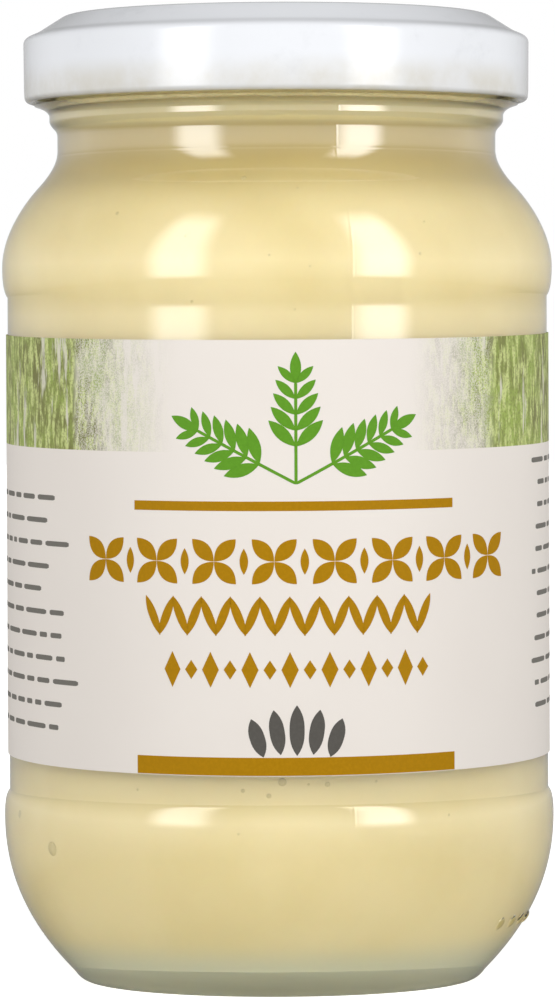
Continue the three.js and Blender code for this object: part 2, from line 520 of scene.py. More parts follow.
@dataclass(frozen=True)
class PaperFinish:
    """Coated label paper, with a green foliage wash printed along its top."""

    paper: Tone = Tone(240, 233, 225)
    # a second paper tone, mixed in by broad random noise
    mottled: Tone = Tone(235, 227, 219)
    olive: Tone = Tone(124, 125, 74)
    green: Tone = Tone(160, 179, 90)
    bright: Tone = Tone(208, 218, 144)
    pale: Tone = Tone(222, 218, 202)
    top: float = 78.0
    depth: float = 13.0
    drop: float = 1.15
    radius: float = 32.77
    left_solid: tuple[float, float] = (-47.5, -44.0)
    left_fade: tuple[float, float] = (-50.0, -19.0)
    right_solid: tuple[float, float] = (44.0, 52.0)
    right_fade: tuple[float, float] = (26.0, 54.0)
    faded: float = 0.68

    def material(self) -> bpy.types.Material:
        """Returns the material."""
        sketch = Sketch("label_paper")
        fibre = sketch.noise(3000.0, 4.0, 0.6)
        ground = sketch.blend(sketch.noise(60.0, 3.0), self.paper.linear(), self.mottled.linear())
        colour = sketch.blend(self._wash_share(sketch), ground, self._foliage(sketch))
        return sketch.shade(
            Base_Color=colour,
            Roughness=sketch.ramp(fibre, 0.3, 0.7, 0.5, 0.66),
            IOR=1.45,
            Specular_IOR_Level=0.3,
            Normal=sketch.relief(fibre, 0.2, 0.02),
        )

    def _wash_share(self, sketch: Sketch) -> bpy.types.NodeSocket:
        """Returns 1 where the wash prints solid, 0 on bare paper, grainy between."""
        parts = sketch.node("ShaderNodeSeparateXYZ", {0: sketch.place}).outputs
        front = sketch.math("MULTIPLY", parts["Y"], -1.0)
        angle = sketch.math("DEGREES", sketch.math("ARCTAN2", parts["X"], front))
        left = sketch.ramp(angle, *self.left_fade, self.faded, 0.0)
        right = sketch.ramp(angle, *self.right_fade, 0.0, self.faded)
        cover = sketch.math("MAXIMUM", left, right)
        grain = sketch.ramp(sketch.noise(6500.0, 1.0), 0.35, 0.65, 0.5, 1.5)
        drift = sketch.ramp(sketch.noise(240.0, 4.0, 0.6, 2.0), 0.35, 0.65, 0.6, 1.4)
        stipple = sketch.math("MULTIPLY", sketch.math("MULTIPLY", cover, drift), grain, clamp=True)
        for edge, ends in ((self.left_solid, (1.0, 0.0)), (self.right_solid, (0.0, 1.0))):
            stipple = sketch.math("MAXIMUM", stipple, sketch.ramp(angle, *edge, *ends))
        slant = sketch.math("MULTIPLY", parts["Y"], self.drop / self.radius)
        flat = sketch.math("SUBTRACT", parts["Z"], slant)
        edge = sketch.math("GREATER_THAN", flat, (self.top - self.depth) * MM)
        return sketch.math("MULTIPLY", stipple, edge)

    def _foliage(self, sketch: Sketch) -> bpy.types.NodeSocket:
        """Returns the wash's greens: tall meadow grass, with light between it."""
        mass = sketch.ramp(sketch.noise(190.0, 5.0, 0.6, 1.8), 0.38, 0.62, 0.0, 1.0)
        tone = sketch.blend(mass, self.olive.linear(), self.green.linear())
        blades = sketch.ramp(sketch.noise(1500.0, 3.0, 0.65, 4.0), 0.44, 0.6, 0.0, 0.9)
        leafy = sketch.blend(blades, tone, self.bright.linear())
        grain = sketch.ramp(sketch.noise(3600.0, 2.0), 0.36, 0.5, 0.5, 0.0)
        dark = sketch.blend(grain, leafy, self.olive.linear())
        gaps = sketch.ramp(sketch.noise(520.0, 5.0, 0.65, 7.0), 0.56, 0.64, 0.0, 0.85)
        return sketch.blend(gaps, dark, self.pale.linear())


class Ink(Enum):
    """The printing inks of the label."""

    LEAF = Tone(96, 152, 40)
    GOLD = Tone(172, 125, 4)
    SLATE = Tone(90, 87, 82)
    FINE = Tone(118, 115, 108)

    def material(self) -> bpy.types.Material:
        """Returns the ink as a material, a little uneven like real print."""
        sketch = Sketch(f"ink_{self.name.lower()}")
        full = self.value.linear()
        thin = (*(min(1.0, c * 1.1 + 0.002) for c in full[:3]), 1.0)
        mottle = sketch.ramp(sketch.noise(2600.0, 3.0, 0.6), 0.35, 0.75, 0.0, 1.0)
        return sketch.shade(
            Base_Color=sketch.blend(mottle, full, thin),
            Roughness=sketch.ramp(mottle, 0.0, 1.0, 0.55, 0.7),
            Specular_IOR_Level=0.08,
            Normal=sketch.relief(mottle, 0.15, 0.01),
        )


@dataclass(frozen=True)
class BubbleFinish:
    """The dull, slightly darker look of a small air bubble in the cream.

    Both its tones are painted shade; they are mixed by noise, and rim is only
    the paler of the two.
    """

    # painted shade of the air pocket, in two tones mixed by noise
    shade: Tone = Tone(190, 174, 124)
    rim: Tone = Tone(212, 196, 144)

    def material(self) -> bpy.types.Material:
        """Returns the material."""
        sketch = Sketch("air_bubble")
        patch = sketch.noise(2400.0, 3.0)
        return sketch.shade(
            Base_Color=sketch.blend(patch, self.shade.linear(), self.rim.linear()),
            Roughness=sketch.ramp(patch, 0.3, 0.7, 0.35, 0.6),
            Normal=sketch.relief(patch, 0.2, 0.04),
        )


# Pieces


def keep(piece: bpy.types.Object, slot: str, material: bpy.types.Material, *nodes: str) -> bpy.types.Object:
    """Dresses a finished piece and puts it in the frame.

    Args:
        piece: The piece.
        slot: The record's material slot that it belongs to; not used.
        material: Its finish.
        nodes: The CAD nodes that it stands for.

    Returns:
        The piece.
    """
    piece.data.materials.clear()
    piece.data.materials.append(material)
    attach(piece, BODY)
    if nodes:
        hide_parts(*nodes)
    LOG.info("%s: %d faces", piece.name, len(piece.data.polygons))
    return piece


@dataclass
class GlassJar:
    """The moulded jar: base, heel, panel, shoulder, neck, bead and finish."""

    sizes: JarSizes = SIZES
    sides: int = 180
    seam_rise: float = 0.008
    neck_seam_rise: float = 0.016
    seam_spread: float = 0.16
    parting_height: float = 99.35
    parting_rise: float = 0.02
    parting_spread: float = 0.11
    dot_height: float = 7.7
    dot_first: float = 60.7
    dot_pitch: float = 6.4
    dot_count: int = 4
    dot_radius: float = 0.72
    dot_rise: float = 0.38
    dot_floor: float = 28.8

    def outside(self) -> Outline:
        """Returns the outside, from the middle of the base up to the rim."""
        s = self.sizes
        edge = (s.punt_radius, s.punt_height - 0.5)
        line = Outline((0.0, s.punt_height)).bend((s.punt_radius / 2, s.punt_height), edge, 8)
        line.bend((s.ring_inner - 0.8, 0.2), (s.ring_inner, 0.0), 6).line((s.ring_outer, 0.0))
        line.bend((24.2, 0.15), (24.9, 1.2), 6)
        line.sweep((30.0, 6.4), (s.body_radius, 12.3), (s.body_radius, s.heel_height), 30)
        line.bend((s.body_radius, s.panel_bottom - 0.5), (s.panel_radius, s.panel_bottom), 10)
        line.line((s.panel_radius, s.panel_top), 24)
        line.bend((s.body_radius, s.panel_top + 0.8), (s.body_radius, s.shoulder_height), 10)
        line.sweep((s.body_radius, 89.6), (30.95, 93.3), (28.6, 95.8), 26)
        line.bend((s.neck_radius, 98.2), (s.neck_radius, s.neck_bottom), 12)
        line.line((s.neck_radius, s.neck_top), 2)
        line.bend((s.neck_radius, 102.4), (26.95, 102.8), 6)
        line.bend((s.bead_radius, 103.3), (s.bead_radius, s.bead_height - s.bead_flat), 6)
        line.line((s.bead_radius, s.bead_height + s.bead_flat))
        line.bend((s.bead_radius + 0.1, 105.0), (s.flange_radius, s.flange_height), 10)
        line.line((s.finish_radius, s.flange_height + 0.5)).line((s.finish_radius, s.rim_height - 2.0))
        rim = s.rim_height
        line.bend((s.finish_radius - 0.2, rim - 0.5), (s.finish_radius - 1.5, rim), 5)
        line.refine(self.dot_height - 0.8, self.dot_height + 0.8, 7)
        return line.refine(self.parting_height - 0.3, self.parting_height + 0.3, 6)

    def inside(self, line: Outline, top: float, gap: float) -> Outline:
        """Follows the cavity from the mouth down to the middle of its bottom.

        Args:
            line: The outline to go on with.
            top: Height at which it starts.
            gap: How far it is drawn in; below 0 it reaches into the wall.

        Returns:
            The outline.
        """
        s = self.sizes
        wall = s.panel_radius - s.wall
        line.line((s.mouth_radius - gap, top)).line((s.mouth_radius - gap, 101.0), 4)
        line.bend((s.mouth_radius - gap, 97.6), (26.7 - gap, 95.2), 12)
        line.sweep((28.9 - gap, 93.2), (30.3 - gap, 90.0), (wall + 0.25 - gap, 85.5), 18)
        line.bend((30.3 - gap, 82.0), (wall - gap, 79.0), 6).line((wall - gap, 27.0), 16)
        line.bend((30.1 - gap, 23.0), (wall + 0.25 - gap, 19.5), 8)
        corner = (s.base_corner_radius - gap, s.base_corner + gap)
        line.sweep((30.4 - gap, 13.5), (27.2 - gap, 7.4), corner, 24)
        return line.bend((s.base_corner_radius / 2, s.base_inside + gap), (0.0, s.base_inside + gap), 10)

    def seam(self, radius: float, height: float, angle: float) -> float:
        """Returns how far the two upright mould seams stand out at a point."""
        turns = (angle - self.sizes.seam_degrees + 90.0) % 180.0 - 90.0
        along = math.radians(turns) * radius
        if not 3.0 < height < 105.0 or abs(along) > 0.6:
            return 0.0
        rise = self.neck_seam_rise if height > self.sizes.neck_bottom else self.seam_rise
        return rise * math.exp(-((along / self.seam_spread) ** 2))

    def dots(self, radius: float, height: float, angle: float) -> float:
        """Returns how far the short row of moulded dots on the heel stands out."""
        rise = height - self.dot_height
        if radius < self.dot_floor or abs(rise) > self.dot_radius:
            return 0.0
        middles = (self.dot_first + self.dot_pitch * i for i in range(self.dot_count))
        across = min(abs(math.radians(angle - middle)) for middle in middles) * radius
        near = 1.0 - (across**2 + rise**2) / self.dot_radius**2
        return self.dot_rise * math.sqrt(near) if near > 0.0 else 0.0

    def mask_dots(self, mesh: bpy.types.Mesh) -> None:
        """Writes on each point of the glass how fully it lies on a heel dot."""
        shares = []
        for x, y, z in (point.co / MM for point in mesh.vertices):
            rise = self.dots(math.hypot(x, y), z, math.degrees(math.atan2(x, -y)))
            shares.append(min(1.0, 2.0 * rise / self.dot_rise))
        mesh.attributes.new(DOT_MASK, "FLOAT", "POINT").data.foreach_set("value", shares)

    def relief(self, radius: float, height: float, angle: float) -> float:
        """Returns how far the seams, the dots and the parting line stand out.

        Args:
            radius: Radius of the point, in millimetres.
            height: Its height.
            angle: Its angle from the front, in degrees.

        Returns:
            The distance in millimetres; 0 on the inside and under the base.
        """
        floor = float(np.interp(height, (0.0, 3.0, 8.0, 20.0, 90.0, 97.0), (99.0, 25.0, 29.0, 31.5, 31.5, 26.2)))
        if radius < floor:
            return 0.0
        ring = math.exp(-(((height - self.parting_height) / self.parting_spread) ** 2))
        return max(self.seam(radius, height, angle), self.dots(radius, height, angle), self.parting_rise * ring)

    def build(self) -> bpy.types.Object:
        """Builds the glass and dresses it."""
        s = self.sizes
        line = self.outside().line((s.mouth_radius + 0.7, s.rim_height))
        line = self.inside(line, s.rim_height - 0.9, 0.0)
        bands = [(seam - 0.8, seam + 0.8, 13) for seam in (s.seam_degrees, s.seam_degrees - 180.0)]
        last = self.dot_first + self.dot_pitch * (self.dot_count - 1)
        bands.append((self.dot_first - 2.4, last + 2.4, 97))
        piece = turned("jar_glass", line.points, packed_angles(self.sides, bands), self.relief)
        self.mask_dots(piece.data)
        piece.visible_shadow = False
        return keep(piece, "glass_jar", GlassFinish().material(), "glass_jar")


@dataclass
class Filling:
    """The mayonnaise, which reaches just into the wall so that no air shows."""

    jar: GlassJar
    reach: float = 0.08
    sides: int = 160

    def build(self) -> bpy.types.Object:
        """Builds the filling and dresses it."""
        height = self.jar.sizes.fill_height
        line = self.jar.inside(Outline((0.0, height)), height, -self.reach)
        piece = turned("jar_filling", line.points[::-1], even_angles(self.sides))
        return keep(piece, "mayonnaise", CreamFinish().material(), "mayonnaise")


@dataclass
class Lid:
    """The twist-off lid of thin sheet, with a rolled lower edge."""

    radius: float = 30.5
    top: float = 116.3
    sheet: float = 0.25
    ring_outer: float = 25.5
    ring_inner: float = 23.4
    slope_radius: float = 28.95
    slope_height: float = 114.15
    skirt_top: float = 112.9
    disc_drop: float = 0.5
    disc_radius: float = 22.3
    button_radius: float = 12.0
    button_rise: float = 0.25
    curl_radius: float = 0.65
    curl_bottom: float = 105.85
    sides: int = 200

    def face(self, depth: float) -> Outline:
        """Returns one face of the sheet, from the middle of the top to the skirt.

        Args:
            depth: How far under the outer face it lies.
        """
        disc = self.top - self.disc_drop - depth
        button = disc + self.button_rise
        line = Outline((0.0, button)).line((self.button_radius - 1.2, button), 6)
        line.sweep((self.button_radius - 0.5, button), (self.button_radius - 0.5, disc), (self.button_radius + 0.2, disc), 8)
        line.line((self.disc_radius - 0.3, disc), 8)
        line.sweep(
            (self.disc_radius + 0.4, disc),
            (self.ring_inner - 0.5, self.top - depth),
            (self.ring_inner + 0.2, self.top - depth),
            8,
        )
        line.line((self.ring_outer - 0.4 - 0.3 * depth, self.top - depth), 3)
        line.bend((self.ring_outer - 0.3 * depth, self.top - depth), (self.ring_outer + 0.45 - 0.3 * depth, self.top - 0.27 - depth), 6)
        line.line((self.slope_radius - 0.35 - 0.5 * depth, self.slope_height + 0.2 - depth), 6)
        return line.sweep(
            (self.slope_radius + 0.45 - 0.5 * depth, self.slope_height - 0.3 - depth),
            (self.radius - depth, self.slope_height - 0.35 - depth),
            (self.radius - depth, self.skirt_top),
            12,
        )

    def build(self) -> bpy.types.Object:
        """Builds the lid and dresses it."""
        middle = (self.radius - 0.1 - self.curl_radius, self.curl_bottom + self.curl_radius)
        outer = self.face(0.0).line((self.radius - 0.05, middle[1] + 0.8), 6)
        outer.arc(middle, self.curl_radius, 0.0, -270.0, 24)
        inner_radius = self.radius - 0.1 - self.sheet
        outer.line((inner_radius, middle[1] + self.curl_radius))
        inner = self.face(self.sheet).points[::-1]
        piece = turned("lid_shell", (outer.points + inner)[::-1], even_angles(self.sides))
        return keep(piece, "lid", EnamelFinish().material(), "lid")


@dataclass
class Label:
    """The paper band round the side panel, and how its print wraps on it."""

    radius: float = 32.77
    paper: float = 0.13
    bottom: float = 27.6
    top: float = 78.0
    drop: float = 1.15
    open_degrees: float = 11.25
    columns: int = 220
    rows: int = 8

    def spot(self, degrees: float, height: float, lift: float = 0.0) -> tuple[float, float, float]:
        """Returns a place on the label.

        Args:
            degrees: Angle from the front, to the viewer's right.
            height: Height on the flat label, in millimetres.
            lift: How far it is above the paper, in millimetres.

        Returns:
            The place, in metres.
        """
        turn = math.radians(degrees)
        out = (self.radius + lift) * MM
        return (out * math.sin(turn), -out * math.cos(turn), (height - self.drop * math.cos(turn)) * MM)

    def build(self) -> bpy.types.Object:
        """Builds the closed paper band and dresses it."""
        reach = 180.0 - self.open_degrees / 2
        angles = np.linspace(-reach, reach, self.columns + 1)
        heights = np.linspace(self.bottom, self.top, self.rows + 1)
        corners = [self.spot(a, h, lift) for lift in (0.0, -self.paper) for h in heights for a in angles]
        wide, tall = len(angles), len(heights)
        back = wide * tall
        faces = []
        for row in range(tall - 1):
            for column in range(wide - 1):
                a = row * wide + column
                faces.append([a, a + 1, a + 1 + wide, a + wide])
                faces.append([back + a + wide, back + a + 1 + wide, back + a + 1, back + a])
        for column in range(wide - 1):
            low, high = column, (tall - 1) * wide + column
            faces.append([back + low, back + low + 1, low + 1, low])
            faces.append([high, high + 1, back + high + 1, back + high])
        for row in range(tall - 1):
            left, right = row * wide, row * wide + wide - 1
            faces.append([left, left + wide, back + left + wide, back + left])
            faces.append([back + right, back + right + wide, right + wide, right])
        piece = solid("label_paper", corners, faces)
        return keep(piece, "label", PaperFinish().material(), "label")


@dataclass(frozen=True)
class Mark:
    """One printed shape: where its middle is on the flat label, and its size."""

    across: float
    height: float
    long: float
    wide: float
    turn: float = 0.0


class Wrapper:
    """The Geometry Nodes tree that prints shapes and wraps them on the label.

    It puts one thin pad on each point, pinches the pad's ends, sizes and turns
    it by the point's attributes, and bends the whole sheet round the jar.
    """

    PAD_DEPTH = 0.03
    PAD_END = 1.97  # just under 2, so that a bar keeps square ends

    def __init__(self, label: Label) -> None:
        """Builds the tree for a label."""
        self.label = label
        self.tree = bpy.data.node_groups.new("print_on_label", "GeometryNodeTree")
        self.sockets = {}
        face = self.tree.interface
        face.new_socket("Geometry", in_out="INPUT", socket_type="NodeSocketGeometry")
        face.new_socket("Geometry", in_out="OUTPUT", socket_type="NodeSocketGeometry")
        for name, kind in (
            ("Pinch", "NodeSocketFloat"),
            ("Cells Along", "NodeSocketInt"),
            ("Cells Across", "NodeSocketInt"),
            ("Radius", "NodeSocketFloat"),
            ("Drop", "NodeSocketFloat"),
            ("Ink", "NodeSocketMaterial"),
        ):
            self.sockets[name] = face.new_socket(name, in_out="INPUT", socket_type=kind).identifier
        self._wire()

    def _add(self, kind: str, inputs: dict | None = None, **settings) -> bpy.types.Node:
        """Adds a node to the tree, with its inputs set or linked."""
        made = self.tree.nodes.new(kind)
        for key, value in settings.items():
            setattr(made, key, value)
        for key, value in (inputs or {}).items():
            if isinstance(value, bpy.types.NodeSocket):
                self.tree.links.new(value, made.inputs[key])
            else:
                made.inputs[key].default_value = value
        return made

    def _math(self, operation: str, *values: Value) -> bpy.types.NodeSocket:
        """Returns the result of a Math node."""
        return self._add("ShaderNodeMath", dict(enumerate(values)), operation=operation).outputs[0]

    def _attribute(self, name: str) -> bpy.types.NodeSocket:
        """Returns a named number of each point."""
        return self._add("GeometryNodeInputNamedAttribute", {"Name": name}, data_type="FLOAT").outputs["Attribute"]

    def _place(self) -> list[bpy.types.NodeSocket]:
        """Returns the X, Y and Z of each point."""
        position = self._add("GeometryNodeInputPosition").outputs[0]
        return list(self._add("ShaderNodeSeparateXYZ", {0: position}).outputs)

    def _wire(self) -> None:
        """Wires the tree."""
        given = self._add("NodeGroupInput").outputs
        pad = self._add(
            "GeometryNodeMeshCube",
            {"Size": (1.0, 1.0, 1.0), "Vertices X": given["Cells Along"], "Vertices Y": given["Cells Across"], "Vertices Z": 2},
        ).outputs["Mesh"]
        x, y, z = self._place()
        reach = self._math("POWER", self._math("MULTIPLY", self._math("ABSOLUTE", x), self.PAD_END), given["Pinch"])
        room = self._math("MAXIMUM", self._math("SUBTRACT", 1.0, reach), 0.02)
        pinched = self._add("ShaderNodeCombineXYZ", {0: x, 1: self._math("MULTIPLY", y, room), 2: z})
        shape = self._add("GeometryNodeSetPosition", {"Geometry": pad, "Position": pinched.outputs[0]}).outputs[0]
        scale = self._add(
            "ShaderNodeCombineXYZ", {0: self._attribute("long"), 1: self._attribute("wide"), 2: self.PAD_DEPTH * MM}
        ).outputs[0]
        turn = self._add("ShaderNodeCombineXYZ", {2: self._attribute("turn")}).outputs[0]
        spread = self._add(
            "GeometryNodeInstanceOnPoints",
            {"Points": given["Geometry"], "Instance": shape, "Rotation": turn, "Scale": scale},
        ).outputs[0]
        flat = self._add("GeometryNodeRealizeInstances", {0: spread}).outputs[0]
        across, up, lift = self._place()
        angle = self._math("DIVIDE", across, given["Radius"])
        out = self._math("ADD", given["Radius"], lift)
        cosine = self._math("COSINE", angle)
        wrapped = self._add(
            "ShaderNodeCombineXYZ",
            {
                0: self._math("MULTIPLY", out, self._math("SINE", angle)),
                1: self._math("MULTIPLY", self._math("MULTIPLY", out, cosine), -1.0),
                2: self._math("SUBTRACT", up, self._math("MULTIPLY", given["Drop"], cosine)),
            },
        ).outputs[0]
        bent = self._add("GeometryNodeSetPosition", {"Geometry": flat, "Position": wrapped}).outputs[0]
        whole = self._add("GeometryNodeRealizeInstances", {0: bent}).outputs[0]
        inked = self._add("GeometryNodeSetMaterial", {"Geometry": whole, "Material": given["Ink"]}).outputs[0]
        self.tree.links.new(inked, self._add("NodeGroupOutput").inputs[0])

    def print(
        self, name: str, marks: list[Mark], ink: Ink, pinch: float, along: int = 13, across: int = 7
    ) -> bpy.types.Object:
        """Prints marks of one ink as one piece.

        Args:
            name: The piece's name.
            marks: The shapes to print.
            ink: Their ink.
            pinch: How soon a shape narrows to its ends: 2 is a leaf, 40 a bar.
            along: How many points a shape has along its length.
            across: How many it has across.

        Returns:
            The piece.
        """
        mesh = bpy.data.meshes.new(name)
        mesh.from_pydata([(m.across * MM, m.height * MM, 0.0) for m in marks], [], [])
        for key, values in {
            "long": [m.long * MM for m in marks],
            "wide": [m.wide * MM for m in marks],
            "turn": [math.radians(m.turn) for m in marks],
        }.items():
            mesh.attributes.new(key, "FLOAT", "POINT").data.foreach_set("value", values)
        piece = bpy.data.objects.new(name, mesh)
        bpy.context.scene.collection.objects.link(piece)
        material = ink.material()
        grown = piece.modifiers.new("print", "NODES")
        grown.node_group = self.tree
        for key, value in {
            "Pinch": pinch,
            "Cells Along": along,
            "Cells Across": across,
            "Radius": self.label.radius * MM,
            "Drop": self.label.drop * MM,
            "Ink": material,
        }.items():
            grown[self.sockets[key]] = value
        settle(piece)
        return keep(piece, "label", material)


def settle(piece: bpy.types.Object) -> None:
    """Turns a piece's modifiers into plain mesh and takes them off."""
    bpy.context.view_layer.update()
    seen = piece.evaluated_get(bpy.context.evaluated_depsgraph_get())
    made = bpy.data.meshes.new_from_object(seen)
    piece.modifiers.clear()
    piece.data = made
    made.shade_smooth()
    made.set_sharp_from_angle(angle=math.radians(38.0))


@dataclass
class LabelPrint:
    """The label's generic print: a leaf spray, rules, ornament rows and lines."""

    wrapper: Wrapper
    middle: float = 2.1
    foot: float = 61.4
    sprigs: tuple[tuple[float, float, int], ...] = ((0.0, 11.8, 5), (-62.0, 13.2, 6), (62.0, 13.2, 6))
    seed: int = 11

    def sprig(self, lean: float, long: float, pairs: int) -> list[Mark]:
        """Returns the leaves of one sprig that grows from the spray's foot.

        Args:
            lean: How far it leans to the right, in degrees from upright.
            long: Its length in millimetres.
            pairs: How many pairs of leaves it bears.

        Returns:
            The leaves, with one at the tip.
        """
        up = math.radians(90.0 - lean)
        tip = long + 1.6
        marks = [Mark(self.middle + tip * math.cos(up), self.foot + tip * math.sin(up), 3.6, 1.3, 90.0 - lean)]
        for i in range(pairs):
            along = long * (0.36 + 0.62 * i / (pairs - 1))
            leaf = 4.3 - 1.5 * i / (pairs - 1)
            for side in (-1, 1):
                turn = 90.0 - lean + side * 46.0
                aim = math.radians(turn)
                marks.append(
                    Mark(
                        self.middle + along * math.cos(up) + 0.52 * leaf * math.cos(aim),
                        self.foot + along * math.sin(up) + 0.52 * leaf * math.sin(aim),
                        leaf,
                        leaf * 0.34,
                        turn,
                    )
                )
        return marks

    def spray(self) -> list[Mark]:
        """Returns a fan of three leafy sprigs."""
        return [mark for lean, long, pairs in self.sprigs for mark in self.sprig(lean, long, pairs)]

    def stem(self) -> list[Mark]:
        """Returns the sprigs' stems, as straight thin bars."""
        marks = []
        for lean, long, _ in self.sprigs:
            up = math.radians(90.0 - lean)
            marks.append(
                Mark(
                    self.middle + long / 2 * math.cos(up),
                    self.foot + long / 2 * math.sin(up),
                    long,
                    0.36,
                    90.0 - lean,
                )
            )
        return marks

    def rules(self) -> list[Mark]:
        """Returns the plain rule above the ornament rows and the one at the foot."""
        return [Mark(2.23, 58.8, 39.4, 1.1), Mark(2.45, 28.72, 39.3, 2.1)]

    def rosettes(self) -> list[Mark]:
        """Returns the widest row: rosettes of four pointed petals."""
        return [
            Mark(
                -21.6 + 7.05 * i + 1.85 * math.cos(math.radians(turn)),
                52.4 + 1.85 * math.sin(math.radians(turn)),
                3.6,
                1.8,
                turn,
            )
            for i in range(8)
            for turn in (45.0, 135.0, 225.0, 315.0)
        ] + [Mark(-21.6 + 7.05 * (i + 0.5), 52.4, 3.0, 1.0, 90.0) for i in range(7)]

    def chevrons(self) -> list[Mark]:
        """Returns the second row: leaf pairs that lean apart."""
        return [
            Mark(-14.2 + 3.45 * i + side * 0.85, 46.1, 4.9, 1.05, 90.0 - side * 22.0)
            for i in range(10)
            for side in (-1, 1)
        ]

    def lozenges(self) -> list[Mark]:
        """Returns the third row: upright lozenges of two sizes."""
        return [
            Mark(-12.6 + 2.32 * i, 39.9, 4.1 if i % 2 == 0 else 2.2, 2.0 if i % 2 == 0 else 1.5, 90.0)
            for i in range(14)
        ]

    def seeds(self) -> list[Mark]:
        """Returns the grey mark under the rows: a fan of seed shapes."""
        return [Mark(self.middle + 2.3 * i, 32.9 - 0.22 * i * i, 5.8 - 0.6 * abs(i), 1.75, 90.0 - 9.0 * i) for i in range(-2, 3)]

    def fine_lines(self) -> list[Mark]:
        """Returns rows of plain dashes of many lengths, on the label's two flanks."""
        draw = random.Random(self.seed)
        marks = []
        for start, end, top, rows, pitch in ((-64.0, -28.6, 59.2, 11, 2.7), (37.8, 66.0, 63.1, 12, 2.65)):
            for row in range(rows):
                across = start + (draw.uniform(0.0, 3.0) if start > 0 else 0.0)
                limit = end - draw.uniform(0.0, 5.0 if start < 0 else 2.0)
                while across < limit:
                    long = draw.uniform(1.2, 5.4)
                    marks.append(Mark(across + long / 2, top - pitch * row, long, 0.6))
                    across += long + 0.8
        return marks

    def build(self) -> None:
        """Prints every part of the artwork."""
        self.wrapper.print("print_spray", self.spray(), Ink.LEAF, 2.0)
        self.wrapper.print("print_stem", self.stem(), Ink.LEAF, 60.0, 40, 3)
        self.wrapper.print("print_rules", self.rules(), Ink.GOLD, 500.0, 120, 3)
        self.wrapper.print("print_rosettes", self.rosettes(), Ink.GOLD, 2.0)
        self.wrapper.print("print_chevrons", self.chevrons(), Ink.GOLD, 2.4)
        self.wrapper.print("print_lozenges", self.lozenges(), Ink.GOLD, 1.0)
        self.wrapper.print("print_seeds", self.seeds(), Ink.SLATE, 2.6)
        self.wrapper.print("print_lines", self.fine_lines(), Ink.FINE, 60.0, 12, 2)


class Studs:
    """The Geometry Nodes tree that puts a small flattened ball on each point."""

    def __init__(self) -> None:
        """Builds the tree."""
        self.tree = bpy.data.node_groups.new("studs_on_surface", "GeometryNodeTree")
        face = self.tree.interface
        face.new_socket("Geometry", in_out="INPUT", socket_type="NodeSocketGeometry")
        face.new_socket("Geometry", in_out="OUTPUT", socket_type="NodeSocketGeometry")
        self.flatness = face.new_socket("Flatness", in_out="INPUT", socket_type="NodeSocketFloat").identifier
        self.finish = face.new_socket("Finish", in_out="INPUT", socket_type="NodeSocketMaterial").identifier
        nodes, links = self.tree.nodes, self.tree.links
        given, result = nodes.new("NodeGroupInput"), nodes.new("NodeGroupOutput")
        ball = nodes.new("GeometryNodeMeshUVSphere")
        ball.inputs["Segments"].default_value = 20
        ball.inputs["Rings"].default_value = 12
        ball.inputs["Radius"].default_value = 1.0
        spread = nodes.new("GeometryNodeInstanceOnPoints")
        across = self._number("across")
        shape = nodes.new("ShaderNodeCombineXYZ")
        thin = nodes.new("ShaderNodeMath")
        thin.operation = "MULTIPLY"
        out = nodes.new("GeometryNodeInputNamedAttribute")
        out.data_type = "FLOAT_VECTOR"
        out.inputs["Name"].default_value = "out"
        aim = nodes.new("FunctionNodeAlignEulerToVector")
        aim.axis = "Z"
        realize = nodes.new("GeometryNodeRealizeInstances")
        finish = nodes.new("GeometryNodeSetMaterial")
        links.new(across, thin.inputs[0])
        links.new(given.outputs["Flatness"], thin.inputs[1])
        for i in (0, 1):
            links.new(across, shape.inputs[i])
        links.new(thin.outputs[0], shape.inputs[2])
        links.new(out.outputs["Attribute"], aim.inputs["Vector"])
        links.new(given.outputs["Geometry"], spread.inputs["Points"])
        links.new(ball.outputs["Mesh"], spread.inputs["Instance"])
        links.new(aim.outputs[0], spread.inputs["Rotation"])
        links.new(shape.outputs[0], spread.inputs["Scale"])
        links.new(spread.outputs[0], realize.inputs[0])
        links.new(realize.outputs[0], finish.inputs["Geometry"])
        links.new(given.outputs["Finish"], finish.inputs["Material"])
        links.new(finish.outputs[0], result.inputs[0])

    def _number(self, name: str) -> bpy.types.NodeSocket:
        """Returns a named number of each point."""
        node = self.tree.nodes.new("GeometryNodeInputNamedAttribute")
        node.data_type = "FLOAT"
        node.inputs["Name"].default_value = name
        return node.outputs["Attribute"]

    def place(self, name: str, spots: list, flatness: float, slot: str, material: bpy.types.Material) -> bpy.types.Object:
        """Puts a stud on each spot, all as one piece.

        Args:
            name: The piece's name.
            spots: (place, outward direction, radius) of each, in millimetres.
            flatness: A stud's height over its radius.
            slot: The record's material slot.
            material: Its finish.

        Returns:
            The piece.
        """
        mesh = bpy.data.meshes.new(name)
        mesh.from_pydata([tuple(c * MM for c in place) for place, _, _ in spots], [], [])
        mesh.attributes.new("across", "FLOAT", "POINT").data.foreach_set("value", [r * MM for _, _, r in spots])
        out = [c for _, direction, _ in spots for c in direction]
        mesh.attributes.new("out", "FLOAT_VECTOR", "POINT").data.foreach_set("vector", out)
        piece = bpy.data.objects.new(name, mesh)
        bpy.context.scene.collection.objects.link(piece)
        grown = piece.modifiers.new("studs", "NODES")
        grown.node_group = self.tree
        grown[self.flatness] = flatness
        grown[self.finish] = material
        settle(piece)
        return keep(piece, slot, material)


